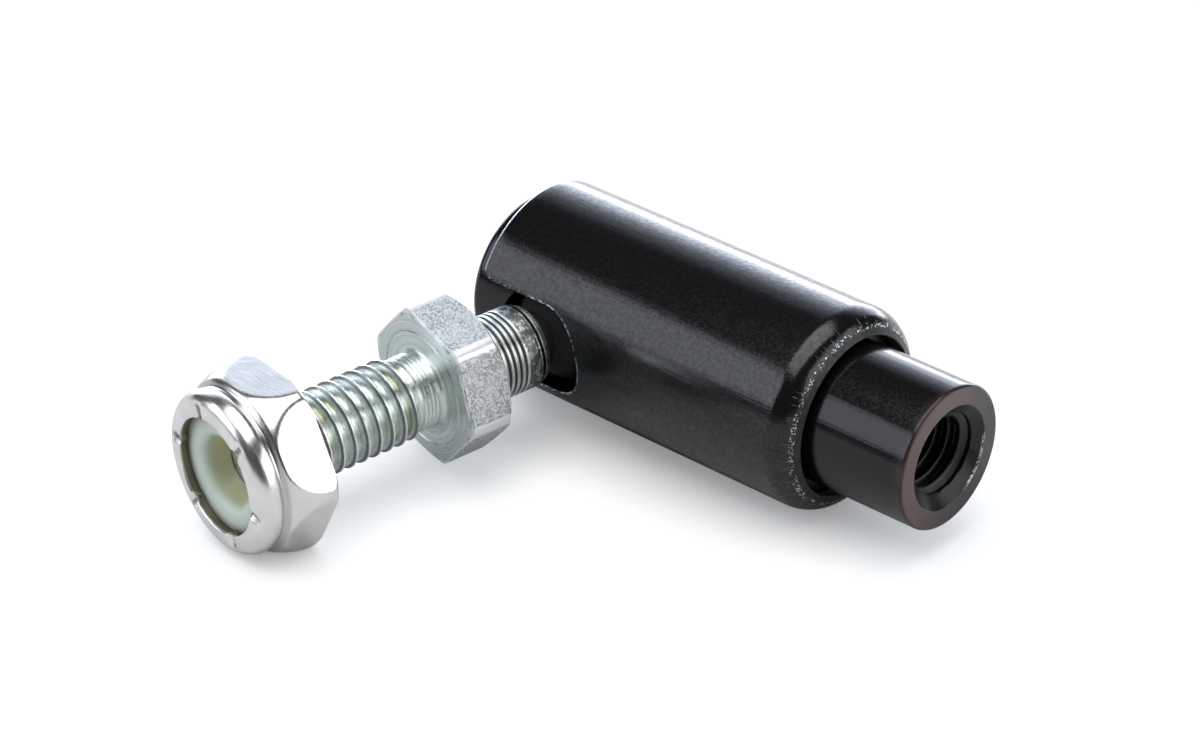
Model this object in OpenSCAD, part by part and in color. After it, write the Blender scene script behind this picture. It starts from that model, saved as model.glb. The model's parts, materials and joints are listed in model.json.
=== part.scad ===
// Quick-release ball joint connector for a throttle linkage: a socket body with a female thread, a sprung
// locking sleeve with an open slot, and a ball stud with a hexagon, a thread and a thin lock nut.
// The sleeve's axis lies along X, +X runs out of the threaded mouth, and Z points up.
// The origin is on that axis, where the countersink meets the thread.
// The part lies as it does unheld: on the sleeve and on the lower flat of the lock nut.

/* [Socket body] */
// Distance from the ball to the neck's end face
body_reach = 24; // [23:0.1:32]
// Distance from the ball to the closed end of the barrel
barrel_back = 5.5; // [4.8:0.1:8]
// Distance from the ball to the barrel's shoulder
barrel_front = 4.9; // [4.4:0.1:6]
// Edge rounding of the barrel's closed end
barrel_edge = 0.5; // [0.2:0.05:1]
// Diameter of the neck
neck_d = 8.1; // [7.4:0.1:8.6]
// Chamfer around the neck's end face
neck_chamfer = 0.4; // [0.1:0.05:0.8]
// Inside diameter of the rod thread
rod_thread_d = 4.04; // [3.2:0.02:5]
// Depth of the rod thread, from the end of the countersink
rod_thread_depth = 12; // [8:0.5:13]
// Point angle at the bottom of the drilled hole
drill_point = 118; // [90:1:140]
// Diameter of the countersink in the end face
countersink_d = 5.9; // [5.2:0.1:6.8]
// Angle of the countersink
countersink_angle = 100; // [80:1:120]

/* [Locking sleeve] */
// Outside diameter of the sleeve
sleeve_d = 11.5; // [11.2:0.1:12.5]
// Wall of the sleeve
sleeve_wall = 0.8; // [0.6:0.05:0.9]
// Distance from the ball to the sleeve's slotted end
sleeve_back = 4.3; // [3.6:0.1:5]
// Distance from the ball to the rolled end
sleeve_front = 17.7; // [17.5:0.1:18.5]
// Edge rounding of the slotted end
sleeve_edge = 0.3; // [0.1:0.05:0.35]
// Outside radius of the rolled end
lip_roll = 1.6; // [1.2:0.05:2]
// Gap between the rolled end and the neck
lip_gap = 0.5; // [0.4:0.05:0.6]
// Thickness of the flange inside the sleeve
flange_t = 0.9; // [0.6:0.1:1.4]
// Width of the slot
slot_w = 5.46; // [5.2:0.02:5.8]
// Distance by which the slot's round end is centred ahead of the ball
slot_lead = 0.4; // [0:0.05:0.8]
// Corner radius at the slot's open mouth
slot_corner = 0.5; // [0.2:0.05:0.8]
// Turn of the slot and the socket below level
slot_roll = 5; // [0:0.5:10]

/* [Spring and retaining ring] */
// Wire of the spring
spring_wire = 0.5; // [0.3:0.05:0.55]
// Turns of the spring, the two closed ends included
spring_turns = 6; // [4:0.5:8]
// Distance from the sleeve's rolled end to the retaining ring
ring_from_end = 1.3; // [1.2:0.1:2.8]
// Thickness of the retaining ring
ring_t = 0.7; // [0.5:0.05:1]
// Depth of the ring's groove in the neck
groove_depth = 0.4; // [0.2:0.05:0.6]

/* [Ball stud] */
// Diameter of the ball
ball_d = 6.35; // [6.1:0.05:6.6]
// Distance of the ball's centre from the sleeve's axis
ball_offset = 2.2; // [1.8:0.05:2.25]
// Diameter of the waist between the ball and the collar
waist_d = 3.2; // [2.6:0.1:3.8]
// Distance from the ball's centre to the collar
collar_from_ball = 3.5; // [3.4:0.05:4.5]
// Diameter of the collar
collar_d = 4.76; // [4.2:0.02:5]
// Chamfer at the collar's inner end
collar_chamfer = 0.3; // [0.1:0.05:0.5]
// Distance from the ball's centre to the hexagon
hex_from_ball = 7.4; // [6.8:0.1:10]
// Width across the hexagon's flats
hex_af = 7.94; // [7.2:0.02:9]
// Thickness of the hexagon
hex_t = 3; // [2.4:0.1:4]
// Chamfer height at the hexagon's corners
hex_chamfer = 0.3; // [0.1:0.05:0.5]
// Diameter of the relief groove beside the hexagon
relief_d = 4.1; // [3.6:0.05:4.5]
// Width of the relief groove
relief_w = 1.2; // [0.6:0.1:2]
// Outside diameter of the stud's thread
stud_thread_d = 4.76; // [4.6:0.02:5]
// Spacing of the thread's crests
stud_pitch = 0.794; // [0.7:0.002:0.9]
// Depth of the stud's thread
stud_thread_depth = 0.46; // [0.36:0.02:0.5]
// Length of the stud beyond the hexagon
stud_length = 11.3; // [10.6:0.1:11.4]
// Chamfer at the stud's end
stud_chamfer = 0.5; // [0.2:0.05:0.7]
// Swing of the stud away from square to the sleeve
stud_yaw = -10; // [-14:0.5:4]
// Turn of the hexagon about the stud
hex_roll = -13; // [-30:1:30]

/* [Lock nut] */
// Width across the nut's flats
nut_af = 9.53; // [9:0.01:10]
// Height of the nut
nut_h = 4.2; // [4:0.05:5]
// Height of a flat at its middle
nut_flat_h = 2.4; // [1.8:0.05:2.6]
// Distance from the hexagon to the nut's bearing face
lever_room = 9.3; // [9:0.1:9.4]
// Corner chamfer height on the bearing side
nut_chamfer = 0.4; // [0.2:0.05:0.6]
// Slope of the shoulder above the flats, from the nut's axis
shoulder_angle = 25; // [15:1:35]
// Outside diameter of the crown
crown_d = 8.7; // [8.3:0.05:9]
// Rounding of the crown's outer edge
crown_round = 0.7; // [0.3:0.05:0.9]
// Diameter of the crown's mouth
crown_mouth_d = 6.4; // [5.6:0.05:6.6]
// Height of the crown's rim over the insert
rim_h = 0.45; // [0.3:0.05:0.6]
// Outside diameter of the nylon insert
insert_d = 6.9; // [6.7:0.05:7.1]
// Bore of the nylon insert
insert_bore_d = 4; // [3.6:0.05:4.3]
// Thickness of the nylon insert
insert_t = 1.4; // [1.1:0.05:1.5]

/* [Clearances] */
// Radial clearance of the sleeve on the barrel and the neck
slide_gap = 0.1; // [0.05:0.01:0.2]
// Radial clearance of the ball in its socket
ball_gap = 0.05; // [0.02:0.01:0.1]
// Radial clearance of the nut on the stud's thread
thread_gap = 0.05; // [0.02:0.01:0.08]
// Clearance between faces that rest on each other
seat_gap = 0.02; // [0.01:0.01:0.05]
// Radial clearance of the retaining ring inside the sleeve
ring_gap = 0.2; // [0.15:0.05:0.3]
// Radial clearance of the spring on each side of its wire
spring_gap = 0.2; // [0.1:0.05:0.25]

/* [Hidden] */
$fn = 96;

// Flank angle of the stud's thread
thread_angle = 60;

black_finish = [0.09, 0.09, 0.1];
spring_steel = [0.45, 0.46, 0.48];
zinc_plate = [0.66, 0.7, 0.68];
stainless = [0.8, 0.8, 0.81];
nylon = [0.78, 0.84, 0.78];

// Radii along the sleeve's axis
sleeve_r = sleeve_d / 2;
bore_r = sleeve_r - sleeve_wall;
barrel_r = bore_r - slide_gap;
neck_r = neck_d / 2;
stem_r = bore_r - spring_wire - 2 * spring_gap;
flange_r = stem_r + slide_gap;
lip_r = neck_r + lip_gap;
ring_r = bore_r - ring_gap;
groove_r = stem_r - groove_depth;
thread_r = rod_thread_d / 2;

// Distances along the sleeve's axis from the ball
countersink_h = (countersink_d - rod_thread_d) / 2 / tan(countersink_angle / 2);
thread_start = body_reach - countersink_h;
thread_end = thread_start - rod_thread_depth;
drill_end = thread_end - thread_r / tan(drill_point / 2);
flange_x = barrel_front + seat_gap;
chamber_x = flange_x + flange_t;
ring_x = sleeve_front - ring_from_end - ring_t;
stem_end = ring_x + ring_t + seat_gap;
lip_centre_r = sleeve_r - lip_roll;
lip_centre_x = sleeve_front - sqrt(pow(lip_roll, 2) - pow(lip_r - lip_centre_r, 2));

// Distances along the stud's axis from the ball's centre
hex_face = hex_from_ball + hex_t;
stud_end = hex_face + stud_length;
stud_thread_start = hex_face + relief_w + (stud_thread_d - relief_d) / 2;
nut_seat = hex_face + lever_room;
insert_z = nut_h - rim_h - insert_t;

// The stud dips until the nut's lower flat meets the surface that the sleeve lies on
socket_r = ball_d / 2 + ball_gap;
ball_y = -ball_offset * cos(slot_roll);
ball_z = -ball_offset * sin(slot_roll);
rest_reach = nut_seat + nut_flat_h;
rest_arm = sqrt(pow(rest_reach, 2) + pow(nut_af / 2, 2));
stud_dip = asin((ball_z + sleeve_r) / rest_arm) - atan2(nut_af / 2, rest_reach);

// Cuts run past the faces that they open
over = 1;

// A profile drawn as [radius, distance from the ball] and turned about the sleeve's axis
module turned() {
  translate([-thread_start, 0, 0]) rotate([0, 90, 0]) rotate_extrude() children();
}

// A shape that looks out of the slot along its own Z, from the sleeve's axis at the ball
module out_of_slot() {
  translate([-thread_start, 0, 0]) rotate([90 + slot_roll, 0, 0]) children();
}

// A shape on the stud, with its Z along the stud from the ball's centre
module on_stud() {
  translate([-thread_start, ball_y, ball_z]) rotate([90 + stud_dip, 0, stud_yaw]) children();
}

// A flat ring profile from one radius to another
module band(inner, outer, from, to) {
  translate([inner, from]) square([outer - inner, to - from]);
}

// A hexagonal bar across its flats
module hex_bar(across, height) {
  cylinder(d = across / cos(30), h = height, $fn = 6);
}

module body_profile() {
  band(0, barrel_r - barrel_edge, -barrel_back, barrel_front);
  band(0, barrel_r, barrel_edge - barrel_back, barrel_front);
  intersection() {
    translate([barrel_r - barrel_edge, barrel_edge - barrel_back]) circle(barrel_edge);
    band(0, barrel_r, -barrel_back, 0);
  }
  band(0, stem_r, 0, ring_x - seat_gap);
  band(0, groove_r, 0, stem_end);
  band(0, neck_r, stem_end, body_reach - neck_chamfer);
  polygon([
    [0, body_reach - neck_chamfer],
    [neck_r, body_reach - neck_chamfer],
    [neck_r - neck_chamfer, body_reach],
    [0, body_reach]
  ]);
}

module rod_hole_profile() {
  polygon([
    [0, drill_end],
    [thread_r, thread_end],
    [thread_r, thread_start],
    [countersink_d / 2, body_reach],
    [countersink_d / 2, body_reach + over],
    [0, body_reach + over]
  ]);
}

module ball_socket() {
  out_of_slot() translate([0, 0, ball_offset]) {
    sphere(socket_r);
    cylinder(r = socket_r, h = barrel_r);
  }
}

module socket_body() {
  color(black_finish) difference() {
    turned() body_profile();
    turned() rod_hole_profile();
    ball_socket();
  }
}

module lip_profile() {
  intersection() {
    translate([lip_centre_r, lip_centre_x]) difference() {
      circle(lip_roll);
      circle(lip_roll - sleeve_wall);
    }
    band(lip_r, sleeve_r + over, lip_centre_x, sleeve_front + over);
  }
}

module sleeve_profile() {
  band(bore_r, sleeve_r - sleeve_edge, -sleeve_back, sleeve_edge - sleeve_back);
  band(bore_r, sleeve_r, sleeve_edge - sleeve_back, lip_centre_x);
  intersection() {
    translate([sleeve_r - sleeve_edge, sleeve_edge - sleeve_back]) circle(sleeve_edge);
    band(bore_r, sleeve_r, -sleeve_back, 0);
  }
  band(flange_r, sleeve_r - sleeve_edge, flange_x, chamber_x);
  lip_profile();
}

// Half of the slot's mouth, flared by a round corner
module slot_mouth() {
  difference() {
    translate([-sleeve_back - over, 0]) square([over + slot_corner, slot_w / 2 + slot_corner]);
    translate([slot_corner - sleeve_back, slot_w / 2 + slot_corner]) circle(slot_corner);
    translate([slot_corner - sleeve_back, slot_w / 2]) square([over, slot_corner + over]);
  }
}

module slot_outline() {
  translate([slot_lead, 0]) circle(d = slot_w);
  translate([-sleeve_back - over, -slot_w / 2]) square([sleeve_back + over + slot_lead, slot_w]);
  slot_mouth();
  mirror([0, 1]) slot_mouth();
}

module locking_sleeve() {
  color(black_finish) difference() {
    turned() sleeve_profile();
    out_of_slot() linear_extrude(height = sleeve_d) slot_outline();
  }
}

// The spring's wire is swept along a helix whose first and last turns are closed
spring_r = (bore_r + flange_r) / 2;
spring_length = ring_x - chamber_x - 2 * seat_gap;
open_turns = spring_turns - 2;
open_pitch = (spring_length - 3 * spring_wire) / open_turns;
steps_per_turn = 24;
wire_sides = 8;
spring_steps = spring_turns * steps_per_turn;

function spring_rise(turn) =
  turn < 1 ? turn * spring_wire :
  turn < 1 + open_turns ? spring_wire + (turn - 1) * open_pitch :
  spring_wire + open_turns * open_pitch + (turn - 1 - open_turns) * spring_wire;

function wire_point(step, side) =
  let (turn = step / steps_per_turn)
  let (around = 360 * turn)
  let (edge = 360 * side / wire_sides)
  let (radius = spring_r + spring_wire / 2 * cos(edge))
  let (along = chamber_x + seat_gap + spring_wire / 2 + spring_rise(turn) + spring_wire / 2 * sin(edge))
  [along, radius * cos(around), radius * sin(around)];

function ring_face(step, side) =
  let (next = (side + 1) % wire_sides)
  [
    step * wire_sides + side,
    step * wire_sides + next,
    (step + 1) * wire_sides + next,
    (step + 1) * wire_sides + side
  ];

module sleeve_spring() {
  points = [for (step = [0:spring_steps]) for (side = [0:wire_sides - 1]) wire_point(step, side)];
  walls = [for (step = [0:spring_steps - 1]) for (side = [0:wire_sides - 1]) ring_face(step, side)];
  first_end = [for (side = [wire_sides - 1:-1:0]) side];
  last_end = [for (side = [0:wire_sides - 1]) spring_steps * wire_sides + side];
  color(spring_steel) translate([-thread_start, 0, 0])
    polyhedron(points, concat([first_end], walls, [last_end]), convexity = 8);
}

module retaining_ring() {
  color(spring_steel) turned() band(groove_r + seat_gap, ring_r, ring_x, ring_x + ring_t);
}

module shank_profile() {
  waist_r = waist_d / 2;
  collar_r = collar_d / 2;
  end_r = stud_thread_d / 2;
  polygon([
    [0, 0],
    [waist_r, 0],
    [waist_r, collar_from_ball],
    [collar_r - collar_chamfer, collar_from_ball],
    [collar_r, collar_from_ball + collar_chamfer],
    [collar_r, hex_face],
    [relief_d / 2, hex_face],
    [relief_d / 2, hex_face + relief_w],
    [end_r, stud_thread_start],
    [end_r, stud_end - stud_chamfer],
    [end_r - stud_chamfer, stud_end],
    [0, stud_end]
  ]);
}

// Ring grooves at the thread's spacing stand in for its helix
module thread_grooves_profile() {
  flank = tan(thread_angle / 2);
  crest_r = stud_thread_d / 2;
  root_r = crest_r - stud_thread_depth;
  crest_flat = stud_pitch / 8;
  root_half = (stud_pitch - crest_flat) / 2 - stud_thread_depth * flank;
  mouth_half = root_half + (stud_thread_depth + over) * flank;
  first = stud_thread_start + stud_pitch / 2;
  last = stud_end - stud_chamfer - stud_pitch / 2;
  for (along = [first:stud_pitch:last]) translate([0, along]) polygon([
    [root_r, -root_half],
    [crest_r + over, -mouth_half],
    [crest_r + over, mouth_half],
    [root_r, root_half]
  ]);
}

// A turned blank that takes the hexagon's corners off at both faces
module hex_blank_profile(across, height, lower, upper) {
  corner_r = across / 2 / cos(30);
  flat_r = across / 2;
  polygon([
    [0, 0],
    [flat_r, 0],
    [corner_r, lower],
    [corner_r, height - upper],
    [flat_r, height],
    [0, height]
  ]);
}

module ball_stud() {
  color(zinc_plate) on_stud() {
    sphere(d = ball_d);
    rotate_extrude() difference() {
      shank_profile();
      thread_grooves_profile();
    }
    translate([0, 0, hex_from_ball]) intersection() {
      rotate([0, 0, hex_roll]) hex_bar(hex_af, hex_t);
      rotate_extrude() hex_blank_profile(hex_af, hex_t, hex_chamfer, hex_chamfer);
    }
  }
}

module nut_blank_profile() {
  corner_r = nut_af / 2 / cos(30);
  flat_r = nut_af / 2;
  crown_r = crown_d / 2;
  shoulder_h = nut_flat_h - (corner_r - flat_r) / tan(shoulder_angle);
  crown_h = nut_flat_h + (flat_r - crown_r) / tan(shoulder_angle);
  polygon([
    [0, 0],
    [flat_r, 0],
    [corner_r, nut_chamfer],
    [corner_r, shoulder_h],
    [crown_r, crown_h],
    [0, crown_h]
  ]);
  band(0, crown_r, 0, nut_h - crown_round);
  band(0, crown_r - crown_round, 0, nut_h);
  intersection() {
    translate([crown_r - crown_round, nut_h - crown_round]) circle(crown_round);
    band(0, crown_r, 0, nut_h);
  }
}

module nut_hole_profile() {
  bore = stud_thread_d / 2 + thread_gap;
  band(0, bore, -over, insert_z);
  band(0, insert_d / 2 + seat_gap, insert_z, insert_z + insert_t + seat_gap);
  band(0, crown_mouth_d / 2, insert_z, nut_h + over);
}

module lock_nut() {
  color(stainless) on_stud() translate([0, 0, nut_seat]) difference() {
    intersection() {
      hex_bar(nut_af, nut_h);
      rotate_extrude() nut_blank_profile();
    }
    rotate_extrude() nut_hole_profile();
  }
}

// The stud's thread forms its own way into the insert as far as the stud reaches
module nylon_insert() {
  color(nylon) on_stud() difference() {
    translate([0, 0, nut_seat + insert_z])
      rotate_extrude() band(insert_bore_d / 2, insert_d / 2, 0, insert_t);
    cylinder(r = stud_thread_d / 2 + thread_gap, h = stud_end + seat_gap);
  }
}

socket_body();
locking_sleeve();
sleeve_spring();
retaining_ring();
ball_stud();
lock_nut();
nylon_insert();
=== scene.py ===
import bmesh
import bpy
import json
import math
from mathutils import Matrix, Vector


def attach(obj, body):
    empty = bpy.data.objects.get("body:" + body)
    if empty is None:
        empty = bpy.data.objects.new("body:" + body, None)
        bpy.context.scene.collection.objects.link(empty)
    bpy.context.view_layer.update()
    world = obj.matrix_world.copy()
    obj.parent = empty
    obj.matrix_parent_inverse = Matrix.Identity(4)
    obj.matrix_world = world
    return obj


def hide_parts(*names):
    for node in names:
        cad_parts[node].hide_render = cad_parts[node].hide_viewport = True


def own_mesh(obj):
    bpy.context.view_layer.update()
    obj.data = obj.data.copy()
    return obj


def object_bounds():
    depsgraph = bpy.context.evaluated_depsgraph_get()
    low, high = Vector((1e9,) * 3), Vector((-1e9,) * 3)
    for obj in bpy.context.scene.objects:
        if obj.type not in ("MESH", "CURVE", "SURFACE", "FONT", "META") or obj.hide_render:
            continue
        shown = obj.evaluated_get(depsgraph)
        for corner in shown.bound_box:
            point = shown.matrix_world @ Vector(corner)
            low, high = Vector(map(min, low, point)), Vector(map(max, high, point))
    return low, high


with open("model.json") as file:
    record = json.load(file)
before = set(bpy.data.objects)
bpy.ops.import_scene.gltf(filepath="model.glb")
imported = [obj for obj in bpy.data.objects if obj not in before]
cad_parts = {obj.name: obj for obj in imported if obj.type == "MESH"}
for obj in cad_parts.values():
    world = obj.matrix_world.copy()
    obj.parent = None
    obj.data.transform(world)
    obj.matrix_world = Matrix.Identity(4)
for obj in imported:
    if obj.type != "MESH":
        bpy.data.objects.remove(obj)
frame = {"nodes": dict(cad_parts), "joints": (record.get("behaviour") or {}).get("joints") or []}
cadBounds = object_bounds()
print("frame loaded")

mm = 0.001
joints = {joint["name"]: joint for joint in frame["joints"]}
ballCentre = Vector(joints["stud_swing"]["pos_m"])
nutSeat = Vector(joints["nut_spin"]["pos_m"])
studAxis = Vector(joints["nut_spin"]["axis"]).normalized()
sleeveAxis = Vector((1, 0, 0))
slotWay = Vector((0, ballCentre.y, ballCentre.z)).normalized()
acrossStud = Vector((-studAxis.y, studAxis.x, 0)).normalized()


def lathePlace(origin, sideways, along):
    # a lathe's own frame: Z runs along the work, X points sideways
    third = along.cross(sideways)
    turn = Matrix((sideways, third, along)).transposed().to_4x4()
    return Matrix.Translation(origin) @ turn


ballOnAxis = Vector((ballCentre.x, 0, 0))
sleevePlace = lathePlace(ballOnAxis, slotWay, sleeveAxis)
socketPlace = lathePlace(ballOnAxis, sleeveAxis, slotWay)
studPlace = lathePlace(ballCentre, acrossStud, studAxis)
nutPlace = lathePlace(nutSeat, acrossStud, studAxis)


# shared modelling steps

def arcPoints(centre, radius, start, end, count):
    # an arc of an outline, with angles in degrees from the radius direction
    points = []
    for step in range(count + 1):
        angle = math.radians(start + (end - start) * step / count)
        points.append((centre[0] + radius * math.cos(angle), centre[1] + radius * math.sin(angle)))
    return points


def rowPoints(radius, start, end, spacing):
    # evenly spaced points of an outline along the lathe
    count = max(1, round(abs(end - start) / spacing))
    return [(radius, start + (end - start) * step / count) for step in range(count + 1)]


def linePoints(start, end, count):
    # evenly spaced points on a straight part of an outline, both ends included
    shares = [step / count for step in range(count + 1)]
    return [tuple(first + (last - first) * share for first, last in zip(start, end)) for share in shares]


def blendPoints(start, startPull, endPull, end, count):
    # a smooth bend between two points of an outline, steered by two pull points
    points = []
    for step in range(1, count):
        share = step / count
        rest = 1 - share
        weights = (rest ** 3, 3 * rest ** 2 * share, 3 * rest * share ** 2, share ** 3)
        corners = (start, startPull, endPull, end)
        points.append(tuple(sum(w * c[side] for w, c in zip(weights, corners)) for side in (0, 1)))
    return points


def turnBlank(name, outline, steps, closed):
    # a ring of vertices is laid on the outline and spun round the lathe
    bpy.ops.object.select_all(action="DESELECT")
    bpy.ops.mesh.primitive_circle_add(vertices=len(outline), radius=mm, fill_type="NOTHING")
    piece = bpy.context.object
    piece.name = name
    piece.data.name = name
    for vertex, (radius, along) in zip(piece.data.vertices, outline):
        vertex.co = (radius * mm, 0, along * mm)
    bpy.ops.object.mode_set(mode="EDIT")
    if not closed:
        bpy.ops.mesh.select_all(action="DESELECT")
        work = bmesh.from_edit_mesh(piece.data)
        work.verts.ensure_lookup_table()
        ends = {work.verts[0], work.verts[len(outline) - 1]}
        for edge in work.edges:
            edge.select_set(set(edge.verts) == ends)
        bmesh.update_edit_mesh(piece.data)
        bpy.ops.mesh.delete(type="EDGE_FACE")
    bpy.ops.mesh.select_all(action="SELECT")
    bpy.ops.mesh.spin(steps=steps, angle=math.tau, center=(0, 0, 0), axis=(0, 0, 1))
    closeShell()
    bpy.ops.object.mode_set(mode="OBJECT")
    return piece


def closeShell():
    bpy.ops.mesh.select_all(action="SELECT")
    bpy.ops.mesh.remove_doubles(threshold=mm * 1e-4)
    bpy.ops.mesh.normals_make_consistent(inside=False)


def millFlats(piece, reach, angles):
    # each plane cut takes one side of the blank off, at its reach from the axis
    bpy.ops.object.select_all(action="DESELECT")
    piece.select_set(True)
    bpy.context.view_layer.objects.active = piece
    bpy.ops.object.mode_set(mode="EDIT")
    for angle in angles:
        way = Vector((math.cos(math.radians(angle)), math.sin(math.radians(angle)), 0))
        bpy.ops.mesh.select_all(action="SELECT")
        bpy.ops.mesh.bisect(
            plane_co=way * reach * mm, plane_no=way,
            use_fill=True, clear_outer=True, threshold=mm * 1e-5,
        )
    closeShell()
    bpy.ops.object.mode_set(mode="OBJECT")


def sixRound(first):
    return [first + 60 * side for side in range(6)]


def threadShape(turns, firstShare, lastShare):
    # 0 on whole turns and 1 halfway between them, each held over its share of the pitch
    away = abs(turns - round(turns))
    slope = (away - firstShare / 2) / (0.5 - firstShare / 2 - lastShare / 2)
    return min(1, max(0, slope))


def cutAway(piece, tool):
    # the tool's shape is taken out of the piece, and the tool goes
    bpy.ops.object.select_all(action="DESELECT")
    bpy.context.view_layer.objects.active = piece
    piece.select_set(True)
    cut = piece.modifiers.new("cut", "BOOLEAN")
    cut.operation = "DIFFERENCE"
    cut.solver = "EXACT"
    cut.object = tool
    bpy.ops.object.modifier_apply(modifier=cut.name)
    bpy.data.objects.remove(tool)


def settle(piece, place, sharpAngle):
    # the place goes into the mesh, and edges sharper than the angle stay crisp
    bpy.ops.object.select_all(action="DESELECT")
    bpy.context.view_layer.objects.active = piece
    piece.select_set(True)
    piece.matrix_world = place
    bpy.ops.object.transform_apply(location=True, rotation=True, scale=True)
    bpy.ops.object.shade_smooth_by_angle(angle=math.radians(sharpAngle))
    return piece


# locking sleeve: a turned tube with a rolled end, cut open by the slot

sleeveSizes = {
    "outside": 5.75, "wall": 0.8, "back": -4.3, "front": 17.8, "edge": 0.3, "edgeRow": 0.4, "rowGap": 0.5,
    "roll": 1.6, "rollFrom": 16.23, "rollStop": 5.05, "innerTurn": 50,
    "mouth": 4.5, "lipEdge": 0.06, "lipDeep": 0.5,
    "flangeFrom": 4.92, "flangeThick": 0.9, "flangeBore": 4.15,
    "slotWidth": 5.46, "slotLead": 0.4, "slotCorner": 0.8, "slotChamfer": 0.07, "slotGap": 0.4,
    "toolShare": 0.6, "toolAbove": 1.5, "toolBehind": 1, "steps": 256, "sharp": 24,
}


def sleeveOutline(s):
    outer, bore = s["outside"], s["outside"] - s["wall"]
    rollCentre = outer - s["roll"]
    rollStart = s["rollFrom"]
    stopAngle = math.degrees(math.acos((s["rollStop"] - rollCentre) / s["roll"]))
    innerRoll = s["roll"] - s["wall"]
    flangeTo = s["flangeFrom"] + s["flangeThick"]
    line = arcPoints((outer - s["edge"], s["back"] + s["edge"]), s["edge"], -90, 0, 6)
    line += rowPoints(outer, s["back"] + s["edge"] + s["edgeRow"], rollStart - s["edgeRow"], s["rowGap"])
    line += arcPoints((rollCentre, rollStart), s["roll"], 0, stopAngle, 18)
    line += [(s["mouth"] + s["lipEdge"], s["front"]), (s["mouth"], s["front"] - s["lipEdge"])]
    line += [(s["mouth"], s["front"] - s["lipDeep"])]
    line += arcPoints((rollCentre, rollStart), innerRoll, s["innerTurn"], 0, 6)
    line += [(bore, flangeTo), (s["flangeBore"], flangeTo)]
    line += [(s["flangeBore"], s["flangeFrom"]), (bore, s["flangeFrom"])]
    line += rowPoints(bore, s["flangeFrom"] - s["rowGap"], s["back"], s["rowGap"])
    return line


def slotOutline(s, grow):
    # the slot from outside as (along, across), widened by grow, from one corner of its mouth to the other
    half, corner = s["slotWidth"] / 2 + grow, s["slotCorner"] - grow
    cornerAlong = s["back"] + s["slotCorner"]
    side = arcPoints((cornerAlong, half + corner), corner, 180, 270, 8)
    side += [(cornerAlong + s["slotGap"] * step, half) for step in range(1, 10)]
    tip = arcPoints((s["slotLead"], 0), half, 90, -90, 40)
    mirrored = [(along, -across) for along, across in reversed(side)]
    beyond = s["back"] - s["toolBehind"]
    wide = half + corner
    return [(beyond, -wide), (beyond, wide)] + side + tip + mirrored


def makeSlotTool(s):
    # the outline is pulled out of the sleeve row by row, and flares where it leaves the surface
    outer, flare = s["outside"], s["slotChamfer"]
    rows = [
        (outer * s["toolShare"], 0), (outer - flare, 0),
        (outer + flare, 2 * flare), (outer + s["toolAbove"], 2 * flare),
    ]
    count = len(slotOutline(s, 0))
    bpy.ops.object.select_all(action="DESELECT")
    bpy.ops.mesh.primitive_circle_add(vertices=count, radius=mm, fill_type="NGON")
    tool = bpy.context.object
    tool.name = "slotTool"
    order = tool.data.attributes.new("order", "INT", "POINT")
    order.data.foreach_set("value", range(count))
    bpy.ops.object.mode_set(mode="EDIT")
    work = bmesh.from_edit_mesh(tool.data)
    for index, (radius, grow) in enumerate(rows):
        if index:
            bpy.ops.mesh.extrude_region_move()
            work = bmesh.from_edit_mesh(tool.data)
        outline = slotOutline(s, grow)
        layer = work.verts.layers.int["order"]
        for vertex in work.verts:
            if vertex.select:
                along, across = outline[vertex[layer]]
                height = math.sqrt(max(radius ** 2 - across ** 2, 1))
                vertex.co = (height * mm, across * mm, along * mm)
        bmesh.update_edit_mesh(tool.data)
    bpy.ops.mesh.select_all(action="SELECT")
    bpy.ops.mesh.normals_make_consistent(inside=False)
    bpy.ops.object.mode_set(mode="OBJECT")
    return tool


sleeve = turnBlank("sleeveShell", sleeveOutline(sleeveSizes), sleeveSizes["steps"], closed=True)
cutAway(sleeve, makeSlotTool(sleeveSizes))
settle(sleeve, sleevePlace, sleeveSizes["sharp"])
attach(sleeve, "sleeve")
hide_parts("locking_sleeve")
print("sleeve modelled")


# socket body: barrel, stem and neck in one turned piece, with the ball's socket and the rod thread

bodySizes = {
    "back": -5.5, "barrel": 4.85, "barrelEdge": 0.5, "shoulder": 4.9, "neck": 4.05,
    "grooveFrom": 15.68, "grooveTo": 16.42, "groove": 3.65, "end": 24, "edge": 0.2,
    "backRow": 0.4, "barrelRow": 0.5, "neckRow": 0.1, "faceRow": 0.08, "rowGap": 0.6,
    "sink": 2.93, "sinkAngle": 50, "sinkEdge": 0.06,
    "threadInside": 2.02, "threadDeep": 0.4, "threadPitch": 0.794, "threadRoot": 0.24, "threadCrest": 0.1,
    "threadRows": 24, "threadTop": 23.55, "threadBottom": 11.22, "holeBottom": 10,
    "socket": 3.225, "ballOffset": 2.2, "socketAbove": 1, "socketSteps": 96, "steps": 144, "sharp": 40,
}


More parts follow.
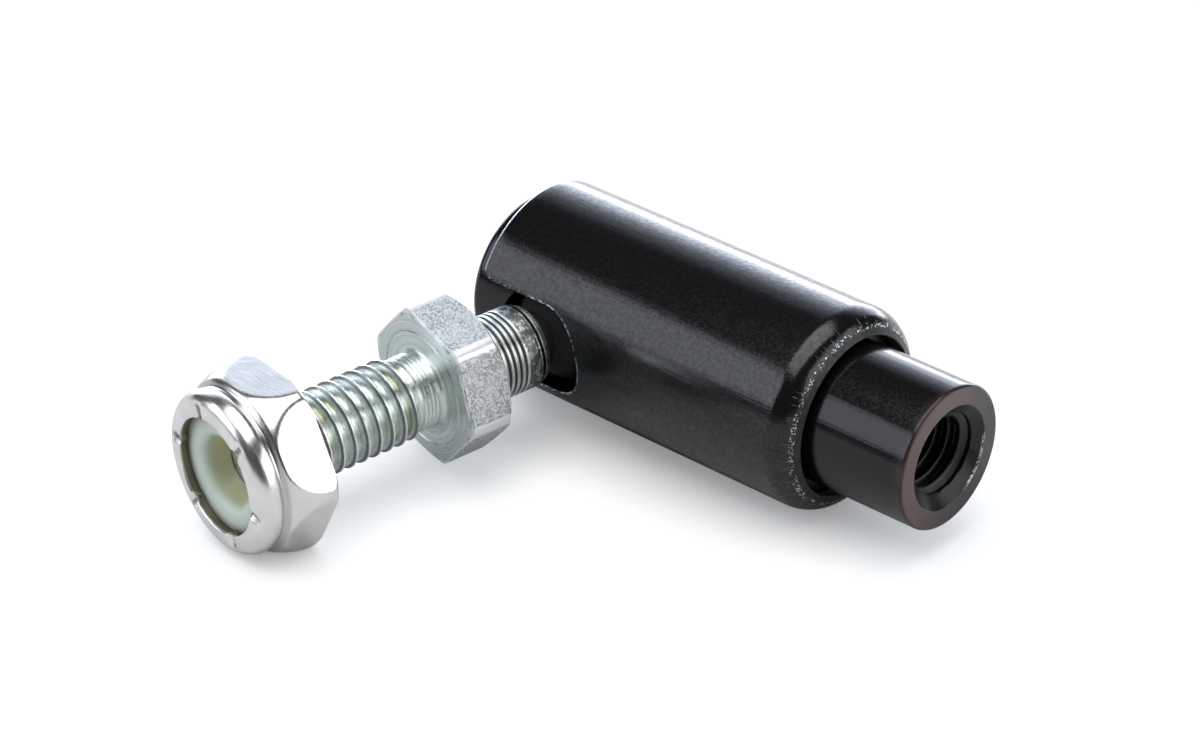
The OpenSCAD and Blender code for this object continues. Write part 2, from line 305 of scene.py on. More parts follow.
def bodyOutline(s):
    # a row beside each rounded edge keeps the straight stretch next to it even in the light
    edge, sinkEdge = s["barrelEdge"], s["sinkEdge"]
    line = [(0, s["back"]), (s["barrel"] - edge - s["backRow"], s["back"])]
    line += arcPoints((s["barrel"] - edge, s["back"] + edge), edge, -90, 0, 10)
    line += rowPoints(s["barrel"], s["back"] + edge + s["barrelRow"], s["shoulder"], s["rowGap"])
    line += rowPoints(s["neck"], s["shoulder"], s["grooveFrom"], s["rowGap"])
    line += [(s["groove"], s["grooveFrom"]), (s["groove"], s["grooveTo"])]
    line += rowPoints(s["neck"], s["grooveTo"], s["end"] - s["edge"] - s["neckRow"], s["rowGap"])
    line += arcPoints((s["neck"] - s["edge"], s["end"] - s["edge"]), s["edge"], 0, 90, 8)
    faceFrom, faceTo = s["neck"] - s["edge"] - s["faceRow"], s["sink"] + sinkEdge + s["faceRow"]
    line += linePoints((faceFrom, s["end"]), (faceTo, s["end"]), 3)
    line += arcPoints((s["sink"] + sinkEdge, s["end"] - sinkEdge), sinkEdge, 90, 150, 3)
    threadRow = s["threadPitch"] / s["threadRows"]
    line += rowPoints(s["threadInside"], s["threadTop"], s["threadBottom"], threadRow)
    line += [(0, s["holeBottom"])]
    return line


def cutRodThread(piece, s):
    # the wall of the hole is pushed outwards along a helix, and the countersink opens its first turn
    for vertex in piece.data.vertices:
        x, y, along = vertex.co / mm
        radius = math.hypot(x, y)
        if abs(radius - s["threadInside"]) > 1e-3 or along < s["threadBottom"] - 1e-3:
            continue
        turns = along / s["threadPitch"] - math.atan2(y, x) / math.tau
        shape = threadShape(turns, s["threadRoot"], s["threadCrest"])
        deep = s["threadDeep"] * (1 - shape * shape * (3 - 2 * shape))
        room = (along - s["threadBottom"]) / s["threadPitch"]
        sunk = s["sink"] - (s["end"] - along) * math.tan(math.radians(s["sinkAngle"]))
        out = max(radius + deep * min(1, max(0, room)), sunk)
        vertex.co.x *= out / radius
        vertex.co.y *= out / radius


def makeSocketTool(s):
    # a ball and its way out, turned about the slot's direction
    low, high = s["ballOffset"] - s["socket"], s["barrel"] + s["socketAbove"]
    line = [(0, low)] + arcPoints((0, s["ballOffset"]), s["socket"], -88, 0, 30)
    line += [(s["socket"], high), (0, high)]
    tool = turnBlank("socketTool", line, s["socketSteps"], closed=False)
    tool.matrix_world = socketPlace
    return tool


body = turnBlank("socketBody", bodyOutline(bodySizes), bodySizes["steps"], closed=False)
cutRodThread(body, bodySizes)
settle(body, sleevePlace, bodySizes["sharp"])
cutAway(body, makeSocketTool(bodySizes))
settle(body, Matrix.Identity(4), bodySizes["sharp"])
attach(body, "socket")
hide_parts("socket_body")
print("socket body modelled")


# sleeve spring: a wire circle swept along a screw, with its first and last turns closed

springSizes = {
    "wire": 0.5, "middle": 4.55, "from": 5.84, "to": 15.68, "turns": 6,
    "sides": 12, "stepsPerTurn": 36, "sharp": 60,
}


def springRise(turn, s):
    free = s["to"] - s["from"] - 3 * s["wire"]
    openTurns = s["turns"] - 2
    closed = min(turn, 1) + max(turn - 1 - openTurns, 0)
    opened = min(max(turn - 1, 0), openTurns)
    return s["from"] + s["wire"] / 2 + closed * s["wire"] + opened * free / openTurns


def makeSpring(s):
    bpy.ops.object.select_all(action="DESELECT")
    bpy.ops.mesh.primitive_circle_add(
        vertices=s["sides"], radius=s["wire"] / 2 * mm, fill_type="NOTHING",
        location=(s["middle"] * mm, 0, 0), rotation=(math.pi / 2, 0, 0),
    )
    piece = bpy.context.object
    piece.name = "coilSpring"
    piece.data.name = "coilSpring"
    bpy.ops.object.transform_apply(location=True, rotation=True, scale=True)
    pitch = 2 * s["wire"]
    screw = piece.modifiers.new("screw", "SCREW")
    screw.axis = "Z"
    screw.screw_offset = pitch * mm
    screw.iterations = s["turns"]
    screw.steps = s["stepsPerTurn"]
    screw.render_steps = s["stepsPerTurn"]
    bpy.ops.object.modifier_apply(modifier=screw.name)
    bpy.ops.object.mode_set(mode="EDIT")
    bpy.ops.mesh.select_all(action="SELECT")
    bpy.ops.mesh.fill_holes(sides=0)
    closeShell()
    bpy.ops.object.mode_set(mode="OBJECT")
    for vertex in piece.data.vertices:
        x, y, along = vertex.co / mm
        share = math.atan2(y, x) / math.tau
        turn = round(along / pitch - share) + share
        vertex.co.z = (springRise(turn, s) + along - turn * pitch) * mm
    return piece


spring = settle(makeSpring(springSizes), sleevePlace, springSizes["sharp"])
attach(spring, "socket")
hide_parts("sleeve_spring")
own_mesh(spring)
print("spring modelled")


# ball stud: ball, waist, grooved collar, hexagon, relief and thread in one piece

studSizes = {
    "ball": 3.175, "waist": 1.6, "waistTo": 3.1, "waistFillet": 0.25,
    "collarFrom": 3.5, "collar": 2.38, "collarChamfer": 0.2, "collarSlope": 0.45,
    "grooveFrom": 5.15, "grooveStep": 0.37, "grooves": 6, "grooveDeep": 0.12,
    "grooveCorners": (-0.11, -0.02, 0.04, 0.13),
    "hexFrom": 7.4, "hexTo": 10.4, "hexFlats": 7.94, "hexRoll": 17, "hexFace": 3.86, "hexBlank": 4.5,
    "hexDrop": 0.2, "hexBackDrop": 0.45, "cornerReach": 4.38, "cornerTurn": 17,
    "ring": 3.25, "ringReach": 0.06, "ringDeep": 0.06, "fillet": 0.4,
    "relief": 2.1, "ripple": 0.035, "ripplePitch": 0.24, "rippleGap": 0.04,
    "rippleFrom": 0.05, "rippleStop": 0.2,
    "threadFrom": 11.9, "thread": 2.38, "threadPitch": 0.794, "threadDeep": 0.46, "threadRun": 0.5,
    "threadCrest": 0.14, "threadRoot": 0.3, "threadRows": 22, "crestAt": 14.75,
    "end": 21.7, "endChamfer": 0.5, "steps": 144, "sharp": 32,
}


def studOutline(s):
    collar, hexFrom, hexTo, fillet = s["collar"], s["hexFrom"], s["hexTo"], s["fillet"]
    waistAngle = math.degrees(math.asin(s["waist"] / s["ball"]))
    waistCentre = (s["waist"] + s["waistFillet"], s["collarFrom"] - s["waistFillet"])
    line = arcPoints((0, 0), s["ball"], -90, 90 - waistAngle, 44)
    line += [(s["waist"], s["waistTo"])]
    line += arcPoints(waistCentre, s["waistFillet"], 180, 90, 5)
    line += [(collar - s["collarChamfer"], s["collarFrom"]), (collar, s["collarFrom"] + s["collarSlope"])]
    grooveFloor = collar - s["grooveDeep"]
    for groove in range(s["grooves"]):
        middle = s["grooveFrom"] + groove * s["grooveStep"]
        radii = (collar, grooveFloor, grooveFloor, collar)
        line += [(radius, middle + offset) for radius, offset in zip(radii, s["grooveCorners"])]
    line += [(collar, hexFrom), (s["hexFace"], hexFrom)]
    line += [(s["hexBlank"], hexFrom + s["hexBackDrop"]), (s["hexBlank"], hexTo - s["hexDrop"])]
    line += [(s["hexFace"], hexTo), (s["ring"] + s["ringReach"], hexTo)]
    line += [(s["ring"], hexTo - s["ringDeep"]), (s["ring"] - s["ringReach"], hexTo)]
    line += arcPoints((s["relief"] + fillet, hexTo + fillet), fillet, -90, -180, 9)
    # the tool's run-out leaves fine rings on the relief
    rippleFrom, rippleTo = hexTo + fillet + s["rippleFrom"], s["threadFrom"] - s["rippleStop"]
    for radius, along in rowPoints(s["relief"], rippleFrom, rippleTo, s["rippleGap"]):
        line.append((radius + s["ripple"] * math.sin(math.tau * along / s["ripplePitch"]), along))
    threadTo = s["end"] - s["endChamfer"]
    line += rowPoints(s["thread"], s["threadFrom"], threadTo, s["threadPitch"] / s["threadRows"])
    line += [(s["thread"] - s["endChamfer"], s["end"]), (0, s["end"])]
    return line


def cutStudThread(piece, s):
    # the shank is pressed in along a right-hand helix, and the thread runs out towards the relief
    for vertex in piece.data.vertices:
        x, y, along = vertex.co / mm
        radius = math.hypot(x, y)
        if along < s["threadFrom"] - 1e-3 or radius < s["thread"] - 1e-3:
            continue
        turns = (along - s["crestAt"]) / s["threadPitch"] - math.atan2(y, x) / math.tau
        shape = threadShape(turns, s["threadCrest"], s["threadRoot"])
        deep = s["threadDeep"] * shape * shape * (3 - 2 * shape) * 0.5 + s["threadDeep"] * shape * 0.5
        start = min(1, max(0, (along - s["threadFrom"]) / s["threadRun"]))
        pressed = radius - deep * start - (1 - start) * (s["thread"] - s["relief"])
        vertex.co.x *= pressed / radius
        vertex.co.y *= pressed / radius


stud = turnBlank("ballStud", studOutline(studSizes), studSizes["steps"], closed=False)
cutStudThread(stud, studSizes)
millFlats(stud, studSizes["hexFlats"] / 2, sixRound(studSizes["hexRoll"]))
for cornerTurn in (studSizes["cornerTurn"], 60 - studSizes["cornerTurn"]):
    millFlats(stud, studSizes["cornerReach"], sixRound(studSizes["hexRoll"] + cornerTurn))
settle(stud, studPlace, studSizes["sharp"])
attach(stud, "stud")
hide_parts("ball_stud")
print("stud modelled")


# lock nut: a turned blank with a rolled crown, six soft-edged flats and stake marks across the rim

nutSizes = {
    "flats": 9.53, "softEdge": 0.1, "flatsRoom": 0.4, "flatsStop": 0.3, "back": -0.25, "belly": 5.38,
    "bellyAt": 0.15, "backRound": 0.45, "shoulderRound": 4.4, "shoulderTurn": 29,
    "shoulderPull": (-0.14, 0.25), "crownPull": (-0.12, -0.25),
    "crown": 3.7, "crownAt": 3.14, "crownRound": 0.88, "crownFrom": -26, "crownTo": 86,
    "top": 4.03, "topFrom": 3.66, "mouth": 3.28, "rimRound": 0.08, "wallFrom": 0.2, "wallGap": 0.1,
    "seat": 3.45, "seatGap": 0.02, "pocket": 3.77, "pocketFrom": 2.02, "bore": 2.43, "boreChamfer": 0.25,
    "marks": 6, "markAt": 48, "markDeep": 0.26, "markWide": 7, "markReach": 0.9, "markBurr": 0.16,
    "markFrom": 0.25, "steps": 288, "sharp": 38,
}


def nutOutline(s):
    belly, middle, rim = s["belly"], s["bellyAt"], s["rimRound"]
    backTurn = math.degrees(math.asin((middle - s["back"]) / s["backRound"]))
    shoulderCentre = (belly - s["shoulderRound"], middle)
    shoulder = arcPoints(shoulderCentre, s["shoulderRound"], 0, s["shoulderTurn"], 30)[1:]
    crown = arcPoints((s["crown"], s["crownAt"]), s["crownRound"], s["crownFrom"], s["crownTo"], 28)
    shoulderPull = [place + pull for place, pull in zip(shoulder[-1], s["shoulderPull"])]
    crownPull = [place + pull for place, pull in zip(crown[0], s["crownPull"])]
    line = [(s["bore"] + s["boreChamfer"], s["back"])]
    line += arcPoints((belly - s["backRound"], middle), s["backRound"], -backTurn, 0, 12) + shoulder
    line += blendPoints(shoulder[-1], shoulderPull, crownPull, crown[0], 14) + crown
    line += linePoints((s["topFrom"], s["top"]), (s["mouth"] + 2 * rim, s["top"]), 4)
    line += arcPoints((s["mouth"] + rim, s["top"] - rim), rim, 90, 180, 6)
    line += rowPoints(s["mouth"], s["top"] - s["wallFrom"], s["seat"] + s["seatGap"], s["wallGap"])
    line += [(s["pocket"], s["seat"] + s["seatGap"]), (s["pocket"], s["pocketFrom"])]
    line += [(s["bore"], s["pocketFrom"]), (s["bore"], s["back"] + s["boreChamfer"])]
    return line


def pressFlats(piece, s):
    # the blank is pressed to six flats that run softly into its round shoulder
    for vertex in piece.data.vertices:
        x, y, along = vertex.co / mm
        radius = math.hypot(x, y)
        if radius < s["flats"] / 2 - s["flatsRoom"] or along > s["crownAt"] - s["flatsStop"]:
            continue
        turn = math.degrees(math.atan2(y, x)) - 30
        flat = s["flats"] / 2 / math.cos(math.radians(turn - 60 * round(turn / 60)))
        share = min(1, max(0, 0.5 + 0.5 * (radius - flat) / s["softEdge"]))
        pressed = radius + (flat - radius) * share - s["softEdge"] * share * (1 - share)
        vertex.co.x *= pressed / radius
        vertex.co.y *= pressed / radius


def stakeRim(piece, s):
    # short grooves across the rim, with a burr over the insert
    spacing = 360 / s["marks"]
    for vertex in piece.data.vertices:
        x, y, along = vertex.co / mm
        radius = math.hypot(x, y)
        if along < s["seat"] + s["markFrom"] or radius > s["mouth"] + s["markReach"]:
            continue
        angle = math.degrees(math.atan2(y, x)) - s["markAt"]
        press = max(0, 1 - abs(angle - spacing * round(angle / spacing)) / s["markWide"])
        outward = (radius - s["mouth"]) / s["markReach"]
        shrink = 1 - s["markBurr"] * press * max(0, 1 - 4 * outward) / radius
        sunk = along - s["markDeep"] * press * min(1, 2 - 2 * outward)
        vertex.co = (x * shrink * mm, y * shrink * mm, sunk * mm)


nut = turnBlank("lockNut", nutOutline(nutSizes), nutSizes["steps"], closed=True)
pressFlats(nut, nutSizes)
stakeRim(nut, nutSizes)
settle(nut, nutPlace, nutSizes["sharp"])
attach(nut, "nut")
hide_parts("lock_nut")
print("nut modelled")


# nylon insert: a ring whose bore is eased in front and narrows behind

insertSizes = {
    "outside": 3.75, "bore": 1.95, "boreEnd": 1.4, "from": 2.04, "to": 3.45, "ease": 0.55,
    "steps": 128, "sharp": 40,
}


def insertOutline(s):
    line = [(s["outside"], s["from"]), (s["outside"], s["to"])]
    line += arcPoints((s["bore"] + s["ease"], s["to"] - s["ease"]), s["ease"], 90, 180, 8)
    line += [(s["boreEnd"], s["from"])]
    return line


insert = turnBlank("nylonRing", insertOutline(insertSizes), insertSizes["steps"], closed=True)
settle(insert, nutPlace, insertSizes["sharp"])
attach(insert, "nut")
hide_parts("nylon_insert")
print("insert modelled")


# materials

def newMaterial(name):
    material = bpy.data.materials.new(name)
    material.use_nodes = True
    return material, material.node_tree, material.node_tree.nodes["Principled BSDF"]


def addNode(tree, kind, inputs=None, **settings):
    made = tree.nodes.new(kind)
    for name, value in settings.items():
        setattr(made, name, value)
    for name, value in (inputs or {}).items():
        if isinstance(value, bpy.types.NodeSocket):
            tree.links.new(value, made.inputs[name])
        else:
            made.inputs[name].default_value = value
    return made


def mathNode(tree, operation, first, second=0.0, third=0.0):
    made = addNode(tree, "ShaderNodeMath", {0: first, 1: second, 2: third}, operation=operation)
    return made.outputs[0]


def sumNode(tree, *values):
    total = values[0]
    for value in values[1:]:
        total = mathNode(tree, "ADD", total, value)
    return total


def productNode(tree, *values):
    total = values[0]
    for value in values[1:]:
        total = mathNode(tree, "MULTIPLY", total, value)
    return total


def rangeNode(tree, value, low, high, toLow=0.0, toHigh=1.0):
    inputs = {"Value": value, "From Min": low, "From Max": high, "To Min": toLow, "To Max": toHigh}
    return addNode(tree, "ShaderNodeMapRange", inputs, interpolation_type="SMOOTHSTEP").outputs[0]


def bandNode(tree, value, middle, reach, soft):
    # 1 within reach of the middle, falling to 0 over the soft width
    away = mathNode(tree, "ABSOLUTE", mathNode(tree, "SUBTRACT", value, middle))
    return rangeNode(tree, away, reach, reach + soft, 1.0, 0.0)


def mixColour(tree, factor, first, second):
    made = addNode(tree, "ShaderNodeMix", data_type="RGBA")
    for socket, value in ((made.inputs[0], factor), (made.inputs[6], first), (made.inputs[7], second)):
        if isinstance(value, bpy.types.NodeSocket):
            tree.links.new(value, socket)
        elif isinstance(value, tuple):
            socket.default_value = (*value, 1)
        else:
            socket.default_value = value
    return made.outputs[2]


def layColours(tree, base, layers):
    # each layer is a mask, how strongly it shows and its colour
    for mask, share, colour in layers:
        base = mixColour(tree, mathNode(tree, "MULTIPLY", mask, share), base, colour)
    return base


def noiseNode(tree, vector, scale, detail=2.0, roughness=0.5):
    inputs = {"Vector": vector, "Scale": scale, "Detail": detail, "Roughness": roughness}
    return addNode(tree, "ShaderNodeTexNoise", inputs).outputs["Fac"]


def localPlace(tree, place):
    # object coordinates in the piece's lathe frame, in millimetres
    coords = addNode(tree, "ShaderNodeTexCoord").outputs["Object"]
    mapping = addNode(tree, "ShaderNodeMapping", {"Vector": coords}, vector_type="TEXTURE")
    mapping.inputs["Location"].default_value = place.translation
    mapping.inputs["Rotation"].default_value = place.to_euler("XYZ")
    mapping.inputs["Scale"].default_value = (mm, mm, mm)
    return mapping.outputs["Vector"]


def startGroup(name, inputs, outputs):
    group = bpy.data.node_groups.new(name, "ShaderNodeTree")
    for socket, kind, value in inputs:
        made = group.interface.new_socket(socket, in_out="INPUT", socket_type="NodeSocket" + kind)
        if value is not None:
            made.default_value = value
    for socket, kind in outputs:
        group.interface.new_socket(socket, in_out="OUTPUT", socket_type="NodeSocket" + kind)
    return group, addNode(group, "NodeGroupInput").outputs, addNode(group, "NodeGroupOutput").inputs


def makeLatheCoords():
    # place across and sideways, distance along, distance from the axis and turn round it
    outputs = [(name, "Float") for name in ("Across", "Sideways", "Along", "Radius", "Turn")]
    group, given, result = startGroup("latheCoords", [("Place", "Vector", None)], outputs)
    parts = addNode(group, "ShaderNodeSeparateXYZ", {0: given["Place"]}).outputs
    square = mathNode(group, "MULTIPLY", parts["X"], parts["X"])
    radius = mathNode(group, "SQRT", mathNode(group, "MULTIPLY_ADD", parts["Y"], parts["Y"], square))
    turn = mathNode(group, "ARCTAN2", parts["Y"], parts["X"])
    for name, value in zip(result.keys(), (parts["X"], parts["Y"], parts["Z"], radius, turn)):
        group.links.new(value, result[name])
    return group


def makeGrain():
    # fine surface grain, lines drawn along the work and slow clouds
    group, given, result = startGroup(
        "drawnGrain", [("Place", "Vector", None), ("Grain", "Float", 9.0), ("Lines", "Float", 7.0)],
        [("Grain", "Float"), ("Lines", "Float"), ("Cloud", "Float")],
    )
    grain = noiseNode(group, given["Place"], given["Grain"], 3.0, 0.6)
    drawnInputs = {0: given["Place"], 1: (1, 1, 0.02)}
    drawn = addNode(group, "ShaderNodeVectorMath", drawnInputs, operation="MULTIPLY").outputs[0]
    lines = noiseNode(group, drawn, given["Lines"], 3.0, 0.6)
    cloud = noiseNode(group, given["Place"], 0.45, 2.0)
    for name, value in (("Grain", grain), ("Lines", lines), ("Cloud", cloud)):
        group.links.new(value, result[name])
    return group


def makeSpecks():
    # small worn spots: noise cut off at a level
    inputs = [("Place", "Vector", None), ("Zone", "Float", 1.0)]
    inputs += [("Scale", "Float", 7.0), ("Level", "Float", 0.56)]
    group, given, result = startGroup("wornSpecks", inputs, [("Specks", "Float")])
    noise = noiseNode(group, given["Place"], given["Scale"], 2.5, 0.65)
    edge = mathNode(group, "ADD", given["Level"], 0.07)
    spots = rangeNode(group, noise, given["Level"], edge)
    group.links.new(productNode(group, spots, given["Zone"]), result["Specks"])
    return group


def makeDots():
    # bright dots of mixed size, one to a cell, thinner in some patches
    inputs = [("Place", "Vector", None), ("Scale", "Float", 9.0), ("Zone", "Float", 1.0)]
    group, given, result = startGroup("wornDots", inputs, [("Dots", "Float")])
    cellInputs = {"Vector": given["Place"], "Scale": given["Scale"]}
    cells = addNode(group, "ShaderNodeTexVoronoi", cellInputs).outputs
    chance = addNode(group, "ShaderNodeSeparateColor", {0: cells["Color"]}).outputs[0]
    size = mathNode(group, "MULTIPLY_ADD", chance, 0.5, 0.14)
    inside = rangeNode(group, mathNode(group, "SUBTRACT", size, cells["Distance"]), 0.0, 0.15)
    patches = rangeNode(group, noiseNode(group, given["Place"], 2.2, 2.0), 0.36, 0.52, 0.4, 1.0)
    group.links.new(productNode(group, inside, patches, given["Zone"]), result["Dots"])
    return group


latheCoords = makeLatheCoords()
drawnGrain = makeGrain()
wornSpecks = makeSpecks()
wornDots = makeDots()


def useGroup(tree, group, inputs):
    return addNode(tree, "ShaderNodeGroup", inputs, node_tree=group).outputs


def specksOn(tree, place, zone, scale, level):
    inputs = {"Place": place, "Zone": zone, "Scale": scale, "Level": level}
    return useGroup(tree, wornSpecks, inputs)["Specks"]


def bumpNode(tree, height, distance, strength, normal=None):
    inputs = {"Height": height, "Distance": distance * mm, "Strength": strength}
    made = addNode(tree, "ShaderNodeBump", inputs)
    if normal is not None:
        tree.links.new(normal, made.inputs["Normal"])
    return made.outputs["Normal"]


def finishMaterial(tree, shader, colour, roughness, metallic, normal):
    for name, value in (
        ("Base Color", colour), ("Roughness", roughness), ("Metallic", metallic), ("Normal", normal),
    ):
        if value is not None:
            tree.links.new(value, shader.inputs[name])


# black finish of the sleeve and the socket body

blackFinish = {
    "colour": (0.0045, 0.0045, 0.005), "ior": 1.45, "rough": 0.13, "roughSpread": (0.1, 0.21),
    "worn": (0.62, 0.7, 0.76), "wornRough": 0.3,
}
sleeveWear = {
    "rolled": (16.2, 16.5), "lipReach": 0.07, "lipSoft": 0.1, "lipDots": 8.0,
    "faceDrop": 0.12, "faceRough": 0.35,
    "crackRound": 5.2, "crackStretch": (1, 0.12, 1), "crackOut": 0.2,
    "cracks": (9.0, 0.6), "crackShare": 0.2,
    "slotStop": (3.6, 3.4), "slotSpecks": (4.5, 0.49), "slotShare": 0.6,
    "endSpecks": (2.2, 0.36), "endShare": 0.8, "coat": 0.4, "coatScale": 4.5, "coatRough": 0.16,
}


def glossNode(tree, grain):
    return rangeNode(tree, grain["Grain"], 0.35, 0.7, *blackFinish["roughSpread"])


def slotRub(tree, lathe, s, wear):
    # a narrow strip along the slot's edge, on the outside of the sleeve
    ahead = mathNode(tree, "MAXIMUM", mathNode(tree, "SUBTRACT", lathe["Along"], s["slotLead"]), 0.0)
    squares = [mathNode(tree, "POWER", value, 2.0) for value in (ahead, lathe["Sideways"])]
    reach = mathNode(tree, "SQRT", sumNode(tree, *squares))
    edge = bandNode(tree, reach, s["slotWidth"] / 2 + 0.05, 0.05, 0.08)
    outside = rangeNode(tree, lathe["Radius"], s["outside"] - 0.14, s["outside"] - 0.08)
    facing = rangeNode(tree, lathe["Across"], 0.0, 0.5)
    return productNode(tree, edge, outside, facing, rangeNode(tree, lathe["Along"], *wear["slotStop"]))


def makeBlackSleeve(s, wear):
    material, tree, shader = newMaterial("blackSleeve")
    place = localPlace(tree, sleevePlace)
    lathe = useGroup(tree, latheCoords, {"Place": place})
    grain = useGroup(tree, drawnGrain, {"Place": place, "Grain": 6.0, "Lines": 9.0})
    # worn ring where the tube was rolled over, and the dull face inside it
    rolled = rangeNode(tree, lathe["Along"], *wear["rolled"])
    ring = bandNode(tree, lathe["Radius"], s["rollStop"] - 0.02, wear["lipReach"], wear["lipSoft"])
    dotInputs = {"Place": place, "Scale": wear["lipDots"], "Zone": productNode(tree, rolled, ring)}
    lip = useGroup(tree, wornDots, dotInputs)["Dots"]
    inside = rangeNode(tree, lathe["Radius"], s["rollStop"], s["rollStop"] - wear["faceDrop"])
    ringFace = productNode(tree, rolled, inside)
    # short cracks over the roll
    arcLength = mathNode(tree, "MULTIPLY", lathe["Turn"], wear["crackRound"])
    unrolled = addNode(tree, "ShaderNodeCombineXYZ", {"X": arcLength, "Y": lathe["Radius"]}).outputs[0]
    crackInputs = {0: unrolled, 1: wear["crackStretch"]}
    crackPlace = addNode(tree, "ShaderNodeVectorMath", crackInputs, operation="MULTIPLY").outputs[0]
    crackBand = bandNode(tree, lathe["Radius"], s["rollStop"] + wear["crackOut"], 0.1, 0.15)
    cracks = specksOn(tree, crackPlace, productNode(tree, rolled, crackBand), *wear["cracks"])
    # rubbed edges of the slot and of the open end
    slotWear = specksOn(tree, place, slotRub(tree, lathe, s, wear), *wear["slotSpecks"])
    endZone = productNode(
        tree, bandNode(tree, lathe["Along"], s["back"] + 0.11, 0.09, 0.07),
        rangeNode(tree, lathe["Radius"], s["outside"] - 0.25, s["outside"] - 0.15))
    endWear = specksOn(tree, place, endZone, *wear["endSpecks"])
    worn = mathNode(tree, "MINIMUM", sumNode(
        tree, lip, productNode(tree, cracks, wear["crackShare"]),
        productNode(tree, slotWear, wear["slotShare"]), productNode(tree, endWear, wear["endShare"])), 1.0)
    colour = mixColour(tree, worn, blackFinish["colour"], blackFinish["worn"])
    wornMore = blackFinish["wornRough"] - blackFinish["rough"]
    roughness = mathNode(tree, "MULTIPLY_ADD", worn, wornMore, glossNode(tree, grain))
    roughness = mathNode(tree, "MULTIPLY_ADD", ringFace, wear["faceRough"], roughness)
    # fine grain in the gloss
    coatNoise = noiseNode(tree, place, wear["coatScale"], 3.0, 0.7)
    tree.links.new(rangeNode(tree, coatNoise, 0.35, 0.65, 0.0, wear["coat"]), shader.inputs["Coat Weight"])
    shader.inputs["Coat Roughness"].default_value = wear["coatRough"]
    relief = bumpNode(tree, grain["Grain"], 0.02, 0.35)
    relief = bumpNode(tree, grain["Lines"], 0.015, 0.5, relief)
    relief = bumpNode(tree, sumNode(tree, lip, cracks), 0.03, 0.5, relief)
    shader.inputs["IOR"].default_value = blackFinish["ior"]
    finishMaterial(tree, shader, colour, roughness, worn, relief)
    return material


bodyWear = {
    "brownDark": (0.026, 0.022, 0.022), "brownLight": (0.095, 0.06, 0.055),
    "brownRough": 0.2, "brownEdge": 0.4, "bare": (0.6, 0.58, 0.5), "bareShare": 0.7,
    "sinkSpecks": (6.0, 0.44), "sinkTurn": 2.58, "backSpecks": (4.0, 0.62),
}


def makeBlackBody(s, wear):
    material, tree, shader = newMaterial("blackBody")
    place = localPlace(tree, sleevePlace)
    lathe = useGroup(tree, latheCoords, {"Place": place})
    grain = useGroup(tree, drawnGrain, {"Place": place, "Grain": 7.0, "Lines": 6.0})
    # brown tint on the end face, and in clouds round its edge
    endFace = productNode(
        tree, rangeNode(tree, lathe["Along"], s["end"] - 0.05, s["end"] - 0.01),
        rangeNode(tree, lathe["Radius"], s["sink"] - 0.05, s["sink"]))
    cloudEdge = mathNode(tree, "MULTIPLY_ADD", grain["Cloud"], 1.6, lathe["Along"])
    rubbed = productNode(
        tree, rangeNode(tree, cloudEdge, s["end"] - 0.1, s["end"] + 1.1),
        rangeNode(tree, lathe["Radius"], s["sink"] + 0.2, s["sink"] + 0.4))
    brown = mathNode(tree, "MAXIMUM", endFace, productNode(tree, rubbed, wear["brownEdge"]))
    # bright rubbed spots: one side of the countersink's edge, and the barrel's end
    sinkZone = productNode(
        tree, bandNode(tree, lathe["Radius"], s["sink"], 0.04, 0.04),
        rangeNode(tree, lathe["Along"], s["end"] - 0.15, s["end"] - 0.1),
        bandNode(tree, lathe["Turn"], wear["sinkTurn"], 0.5, 0.15))
    sinkWear = specksOn(tree, place, sinkZone, *wear["sinkSpecks"])
    backZone = productNode(
        tree, bandNode(tree, lathe["Along"], s["back"] + 0.15, 0.1, 0.2),
        rangeNode(tree, lathe["Radius"], s["barrel"] - 0.3, s["barrel"] - 0.15))
    backWear = specksOn(tree, place, backZone, *wear["backSpecks"])
    bareSpots = [productNode(tree, spots, wear["bareShare"]) for spots in (sinkWear, backWear)]
    worn = mathNode(tree, "MINIMUM", sumNode(tree, *bareSpots), 1.0)
    # the countersink and the thread are duller
    inHole = productNode(
        tree, rangeNode(tree, lathe["Along"], s["threadBottom"] - 0.5, s["threadBottom"]),
        rangeNode(tree, lathe["Radius"], s["sink"] + 0.02, s["sink"] - 0.05))
    # the brown fades towards the lower right of the face
    aslant = sumNode(tree, lathe["Across"], productNode(tree, lathe["Sideways"], -0.8))
    shade = rangeNode(tree, aslant, -3.5, 3.0)
    brownTone = mixColour(tree, shade, wear["brownDark"], wear["brownLight"])
    tint = mixColour(tree, brown, blackFinish["colour"], brownTone)
    colour = mixColour(tree, worn, tint, wear["bare"])
    dull = mathNode(tree, "MAXIMUM", brown, inHole)
    roughness = mathNode(tree, "MULTIPLY_ADD", dull, wear["brownRough"], glossNode(tree, grain))
    relief = bumpNode(tree, grain["Grain"], 0.02, 0.12)
    relief = bumpNode(tree, grain["Lines"], 0.02, 0.3, relief)
    shader.inputs["IOR"].default_value = blackFinish["ior"]
    finishMaterial(tree, shader, colour, roughness, worn, relief)
    return material


# zinc plate of the stud

